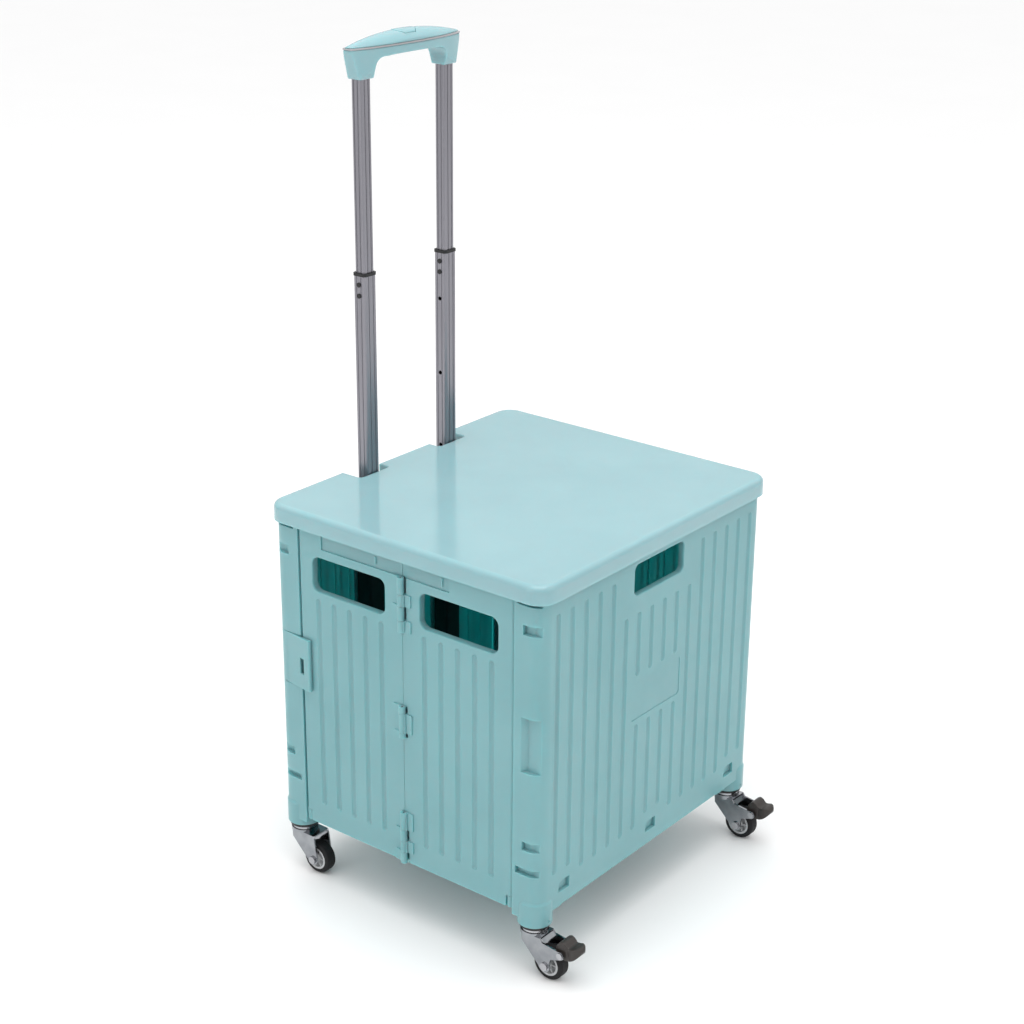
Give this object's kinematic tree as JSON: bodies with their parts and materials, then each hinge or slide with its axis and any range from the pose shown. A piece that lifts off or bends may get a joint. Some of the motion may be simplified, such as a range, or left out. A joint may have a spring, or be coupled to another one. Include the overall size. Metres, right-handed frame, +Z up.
{
  "type": "foldable rolling shopping cart",
  "caption": "Foldable lidded crate on swivel casters with hinged side walls, a lift-off lid, corner latches and a two-stage telescopic pull handle.",
  "frame": {"origin": "on the floor under the middle of the whole cart's bounding box", "axes": "+Z up, +Y from the front wall towards the handle, +X to the right seen from the front"},
  "size_m": [0.442, 0.444, 0.987],
  "materials": {
    "mint_wall_plastic": "gloss",
    "mint_lid_plastic": "gloss",
    "trim_plastic": "gloss",
    "black_plastic": "satin",
    "tube_aluminium": "satin anodised",
    "tyre_rubber": "matt",
    "hub_plastic": "satin",
    "pedal_plastic": "satin",
    "plated_steel": "zinc plated",
    "steel": "plain"
  },
  "bodies": {
    "base": {"back_panel": "mint_wall_plastic", "latch_pins": "steel", "rear_hinge_pins": "steel", "floor_hinge_pin": "steel", "tube_housings": "black_plastic", "housing_screws": "steel", "fixed_tubes": "tube_aluminium", "rear_caster_stems": "steel", "rear_stem_bushes": "black_plastic"},
    "left_rear_leaf": {"left_rear_half_panel": "mint_wall_plastic", "left_centre_hinge_pins": "steel"},
    "left_front_leaf": {"left_front_half_panel": "mint_wall_plastic"},
    "front": {"front_panel": "mint_wall_plastic", "front_hinge_pins": "steel", "front_caster_stems": "steel", "front_stem_bushes": "black_plastic"},
    "right_rear_leaf": {"right_rear_half_panel": "mint_wall_plastic", "right_centre_hinge_pins": "steel"},
    "right_front_leaf": {"right_front_half_panel": "mint_wall_plastic"},
    "lid": {"lid": "mint_lid_plastic"},
    "floor": {"floor_panel": "mint_wall_plastic"},
    "left_latch": {"left_latch": "mint_wall_plastic"},
    "right_latch": {"right_latch": "mint_wall_plastic"},
    "handle_middle": {"middle_tubes": "tube_aluminium", "collars": "black_plastic", "collar_rivets": "black_plastic"},
    "handle_top": {"upper_tubes": "tube_aluminium", "grip_shell": "mint_lid_plastic", "grip_trim": "trim_plastic", "grip_cover": "mint_lid_plastic"},
    "button": {"release_button": "mint_lid_plastic", "push_yoke": "black_plastic", "push_rods": "steel"},
    "front_left_caster": {"front_left_fork": "plated_steel", "front_left_axle": "steel", "front_left_pedal_rivet": "steel"},
    "front_left_wheel": {"front_left_hub": "hub_plastic", "front_left_tyre": "tyre_rubber"},
    "front_left_brake": {"front_left_brake_pedal": "pedal_plastic"},
    "front_right_caster": {"front_right_fork": "plated_steel", "front_right_axle": "steel", "front_right_pedal_rivet": "steel"},
    "front_right_wheel": {"front_right_hub": "hub_plastic", "front_right_tyre": "tyre_rubber"},
    "front_right_brake": {"front_right_brake_pedal": "pedal_plastic"},
    "rear_left_caster": {"rear_left_fork": "plated_steel", "rear_left_axle": "steel"},
    "rear_left_wheel": {"rear_left_hub": "hub_plastic", "rear_left_tyre": "tyre_rubber"},
    "rear_right_caster": {"rear_right_fork": "plated_steel", "rear_right_axle": "steel"},
    "rear_right_wheel": {"rear_right_hub": "hub_plastic", "rear_right_tyre": "tyre_rubber"}
  },
  "joints": [
    {"name": "fold", "type": "hinge", "parent": "base", "child": "left_rear_leaf", "pos_m": [-0.2102, 0.174, 0.27], "axis": [0, 0, 1], "range_deg": [0, 84.5]},
    {"name": "left_centre_fold", "type": "hinge", "parent": "left_rear_leaf", "child": "left_front_leaf", "pos_m": [-0.2166, 0.02175, 0.27], "axis": [0, 0, 1], "range_deg": [-169, 0]},
    {"name": "front_left_fold", "type": "hinge", "parent": "left_front_leaf", "child": "front", "pos_m": [-0.2102, -0.1305, 0.27], "axis": [0, 0, 1], "range_deg": [0, 84.5]},
    {"name": "right_rear_fold", "type": "hinge", "parent": "base", "child": "right_rear_leaf", "pos_m": [0.2102, 0.174, 0.27], "axis": [0, 0, 1], "range_deg": [-84.5, 0]},
    {"name": "right_centre_fold", "type": "hinge", "parent": "right_rear_leaf", "child": "right_front_leaf", "pos_m": [0.2166, 0.02175, 0.27], "axis": [0, 0, 1], "range_deg": [0, 169]},
    {"name": "lid_lift", "type": "slide", "parent": "base", "child": "lid", "axis": [0, 0, 1], "range_m": [0, 0.25]},
    {"name": "floor_hinge", "type": "hinge", "parent": "base", "child": "floor", "pos_m": [0, 0.183, 0.0755], "axis": [-1, 0, 0], "range_deg": [0, 90]},
    {"name": "handle_middle_slide", "type": "slide", "parent": "base", "child": "handle_middle", "axis": [0, 0, 1], "range_m": [-0.235, 0]},
    {"name": "handle_top_slide", "type": "slide", "parent": "handle_middle", "child": "handle_top", "axis": [0, 0, 1], "range_m": [-0.212, 0]},
    {"name": "button_press", "type": "slide", "parent": "handle_top", "child": "button", "axis": [0, 0, 1], "range_m": [-0.004, 0], "stiffness_N_per_m": 800, "springref_m": 0.003},
    {"name": "left_latch_swing", "type": "hinge", "parent": "base", "child": "left_latch", "pos_m": [-0.198, 0.2138, 0.2875], "axis": [0, 0, -1], "range_deg": [0, 75]},
    {"name": "right_latch_swing", "type": "hinge", "parent": "base", "child": "right_latch", "pos_m": [0.198, 0.2138, 0.2875], "axis": [0, 0, 1], "range_deg": [0, 75]},
    {"name": "front_left_swivel", "type": "hinge", "parent": "front", "child": "front_left_caster", "pos_m": [-0.197, -0.154, 0.055], "axis": [0, 0, 1], "continuous": true},
    {"name": "front_left_roll", "type": "hinge", "parent": "front_left_caster", "child": "front_left_wheel", "pos_m": [-0.197, -0.178, 0.02], "axis": [1, 0, 0], "continuous": true},
    {"name": "front_left_brake_press", "type": "hinge", "parent": "front_left_caster", "child": "front_left_brake", "pos_m": [-0.197, -0.199, 0.042], "axis": [1, 0, 0], "range_deg": [0, 17]},
    {"name": "front_right_swivel", "type": "hinge", "parent": "front", "child": "front_right_caster", "pos_m": [0.197, -0.154, 0.055], "axis": [0, 0, 1], "continuous": true},
    {"name": "front_right_roll", "type": "hinge", "parent": "front_right_caster", "child": "front_right_wheel", "pos_m": [0.197, -0.178, 0.02], "axis": [1, 0, 0], "continuous": true},
    {"name": "front_right_brake_press", "type": "hinge", "parent": "front_right_caster", "child": "front_right_brake", "pos_m": [0.197, -0.199, 0.042], "axis": [1, 0, 0], "range_deg": [0, 17]},
    {"name": "rear_left_swivel", "type": "hinge", "parent": "base", "child": "rear_left_caster", "pos_m": [-0.197, 0.2, 0.055], "axis": [0, 0, 1], "continuous": true},
    {"name": "rear_left_roll", "type": "hinge", "parent": "rear_left_caster", "child": "rear_left_wheel", "pos_m": [-0.197, 0.176, 0.02], "axis": [1, 0, 0], "continuous": true},
    {"name": "rear_right_swivel", "type": "hinge", "parent": "base", "child": "rear_right_caster", "pos_m": [0.197, 0.2, 0.055], "axis": [0, 0, 1], "continuous": true},
    {"name": "rear_right_roll", "type": "hinge", "parent": "rear_right_caster", "child": "rear_right_wheel", "pos_m": [0.197, 0.176, 0.02], "axis": [1, 0, 0], "continuous": true}
  ],
  "couplings": [
    {"joint": "left_centre_fold", "follows": "fold", "ratio": -2},
    {"joint": "front_left_fold", "follows": "fold", "ratio": 1},
    {"joint": "right_rear_fold", "follows": "fold", "ratio": -1},
    {"joint": "right_centre_fold", "follows": "fold", "ratio": 2}
  ]
}
